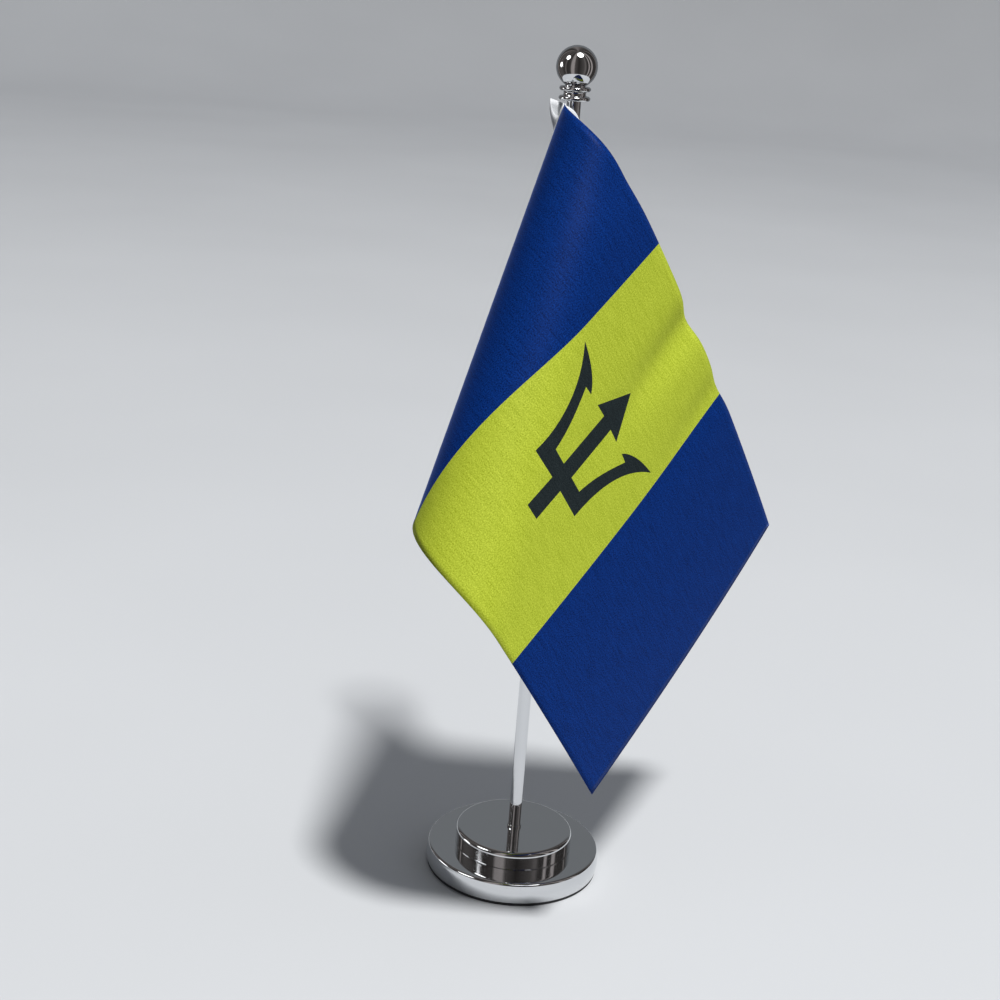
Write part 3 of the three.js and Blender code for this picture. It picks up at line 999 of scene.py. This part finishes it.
pocketShape = {
    "loopRadius": 4.05,         # middle of the cloth where it passes round the lining
    "margin": 2.4,              # doubled cloth between the stitching and the print
    "overlap": 0.9,             # how far the doubled cloth laps over the print
    "layerGap": 0.3,            # from the sheet's middle to the middle of each layer
    "thickness": 0.26,
    "rimDrop": 12.0,            # the top rim slopes down away from the hoist
    "rimHigh": 218.0,           # direction in which the rim is highest
    "bulge": 4.0,               # how far the loop gapes at the top, on its left
    "bulgeRaise": 1.2,
    "bulgeFade": 8.0,
    "nearDip": 5.2,             # the gaping loop is cut lower on its near side
    "belly": 0.5,
    "liningRadius": 3.25,
    "liningThickness": 0.6,
    "liningTop": 294.0,
    "liningLow": 165.4,
    "rows": 70,
    "loopSteps": 36,
    "sideSteps": 16,
}

stitchShape = {
    "pitch": 2.6,
    "length": 1.9,
    "place": 0.55,              # share of the margin
    "threadRadius": 0.13,
    "sides": 6,
    "stations": 7,
    "thinnest": 0.15,           # least square of the share of its radius that the thread keeps
    "lift": 0.2,                # in the middle, and how much deeper it dives at its ends
    "sink": 1.3,
}


def pocketPath(down):
    # the pocket's middle line at one height, from the print round the pole and back to the print
    shape = pocketShape
    along = np.array([shape["overlap"], 0.0, -shape["margin"] / 2, -shape["margin"]])
    strip, normals = hangCloth(along, np.full(4, down))
    left = strip + normals * shape["layerGap"]
    right = strip - normals * shape["layerGap"]
    foot = strip[-1, :2]
    distance = math.hypot(*foot)
    heading = math.atan2(foot[1], foot[0])
    spread = math.acos(shape["loopRadius"] / distance)
    fade = math.exp(-((down / shape["bulgeFade"]) ** 2))
    height = strip[-1, 2]
    path = [tuple(point) for point in left]
    rises = [0.0] * 4
    loopSteps, sideSteps = shape["loopSteps"], shape["sideSteps"]
    turns = [heading - spread - 2 * (math.pi - spread) * i / loopSteps for i in range(loopSteps + 1)]
    ring = [(shape["loopRadius"] * math.cos(a), shape["loopRadius"] * math.sin(a)) for a in turns]
    sides = (
        (left[-1, :2], ring[0], shape["bulge"] * fade + shape["belly"]),
        (ring[-1], right[-1, :2], shape["belly"]),
    )
    for number, (first, last, bulge) in enumerate(sides):
        if number == 1:
            path += [(x, y, height) for x, y in ring]
            rises += [0.0] * len(ring)
        run = np.array(last) - np.array(first)
        outward = np.array([run[1], -run[0]]) / np.linalg.norm(run)
        middle = (np.array(first) + np.array(last)) / 2
        outward *= 1 if outward @ middle > 0 else -1
        for i in range(1, sideSteps):
            share = i / sideSteps
            swell = math.sin(math.pi * share) ** (2 - number)
            x, y = np.array(first) + run * share + outward * bulge * swell
            path.append((x, y, height))
            dip = shape["nearDip"] * max(0, math.sin(2 * math.pi * share))
            rises.append(0.0 if number else fade * (shape["bulgeRaise"] * swell - dip))
    path += [tuple(point) for point in right[::-1]]
    rises += [0.0] * 4
    slope = 1 - down / flagShape["hoist"]
    placed = []
    for (x, y, z), rise in zip(path, rises):
        around = math.atan2(y, x) - math.radians(shape["rimHigh"])
        drop = shape["rimDrop"] * (1 - math.cos(around)) / 2
        placed.append((x, y, z - drop * slope + rise))
    for index in range(-4, 4):  # the doubled margin keeps to the sheet it is sewn to
        placed[index] = path[index]
    return placed


def makePocket():
    rows = pocketShape["rows"]
    paths = [pocketPath(flagShape["hoist"] * i / rows) for i in range(rows + 1)]
    count = len(paths[0])
    verts = [point for path in paths for point in path]
    faces = []
    for i in range(rows):
        for j in range(count - 1):
            a = i * count + j
            faces.append((a, a + 1, a + count + 1, a + count))
    points = np.array(verts).reshape(rows + 1, count, 3)
    lengths = np.linalg.norm(np.diff(points[rows // 2], axis=0), axis=1)
    across = np.concatenate([[0], np.cumsum(lengths)])
    downward = np.linspace(0, flagShape["hoist"], rows + 1)
    plan = np.array([(u, v) for v in downward for u in across])
    mesh = bpy.data.meshes.new("hoist_pocket")
    mesh.from_pydata((np.array(verts) * mm).tolist(), [], faces)
    mesh.materials.append(whitePolyester)
    layPlan(mesh, plan)
    mesh.shade_smooth()
    pocket = addItem("hoist_pocket", mesh)
    thicken(pocket, pocketShape["thickness"])
    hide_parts("flag_hem")
    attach(pocket, "flag")
    return pocket


def makeLining():
    shape = pocketShape
    rounding = shape["liningThickness"] / 2
    outline = arcPoints(shape["liningRadius"], shape["liningTop"] - rounding, rounding, 0, 180, 8)
    outline += arcPoints(shape["liningRadius"], shape["liningLow"] + rounding, rounding, 180, 360, 8)
    outline.append(outline[0])
    lining = turnPiece("pocket_lining", outline, 48, whitePolyester)
    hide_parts("flag_sleeve")
    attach(lining, "sleeve")


def makeStitching():
    # one row of lockstitch on each face of the doubled cloth
    shape, sides, stations = stitchShape, stitchShape["sides"], stitchShape["stations"]
    count = int(flagShape["hoist"] / shape["pitch"]) - 1
    along = np.full(stations, -pocketShape["margin"] * shape["place"])
    surface = pocketShape["layerGap"] + pocketShape["thickness"] / 2
    verts, faces = [], []
    for number in range(count):
        middle = (number + 1) * shape["pitch"]
        down = middle + np.linspace(-0.5, 0.5, stations) * shape["length"]
        centre, normal = hangCloth(along, down)
        for face in (-1, 1):
            first = len(verts)
            for k in range(stations):
                share = 2 * k / (stations - 1) - 1
                radius = shape["threadRadius"] * math.sqrt(max(shape["thinnest"], 1 - share ** 4))
                lift = shape["threadRadius"] * (shape["lift"] - shape["sink"] * share ** 4)
                spine = centre[k] + normal[k] * face * (surface + lift)
                sideways = np.cross(normal[k], centre[-1] - centre[0])
                sideways /= np.linalg.norm(sideways)
                for j in range(sides):
                    turn = 2 * math.pi * j / sides
                    verts.append(spine + radius * (math.cos(turn) * sideways + math.sin(turn) * normal[k]))
            for k in range(stations - 1):
                for j in range(sides):
                    a, b = first + k * sides + j, first + k * sides + (j + 1) % sides
                    faces.append((a, b, b + sides, a + sides))
            faces.append(tuple(first + j for j in range(sides))[::-1])
            faces.append(tuple(first + (stations - 1) * sides + j for j in range(sides)))
    mesh = bpy.data.meshes.new("pocket_stitching")
    mesh.from_pydata([tuple(v * mm) for v in verts], [], faces)
    work = bmesh.new()
    work.from_mesh(mesh)
    bmesh.ops.recalc_face_normals(work, faces=work.faces)
    work.to_mesh(mesh)
    work.free()
    mesh.materials.append(sewingThread)
    mesh.shade_smooth()
    stitching = addItem("pocket_stitching", mesh)
    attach(stitching, "flag")
    return stitching


flagCloth = makeFlagCloth(settleCloth())
pocket = makePocket()
makeLining()
stitching = makeStitching()
print("flag hung, pocket sewn")
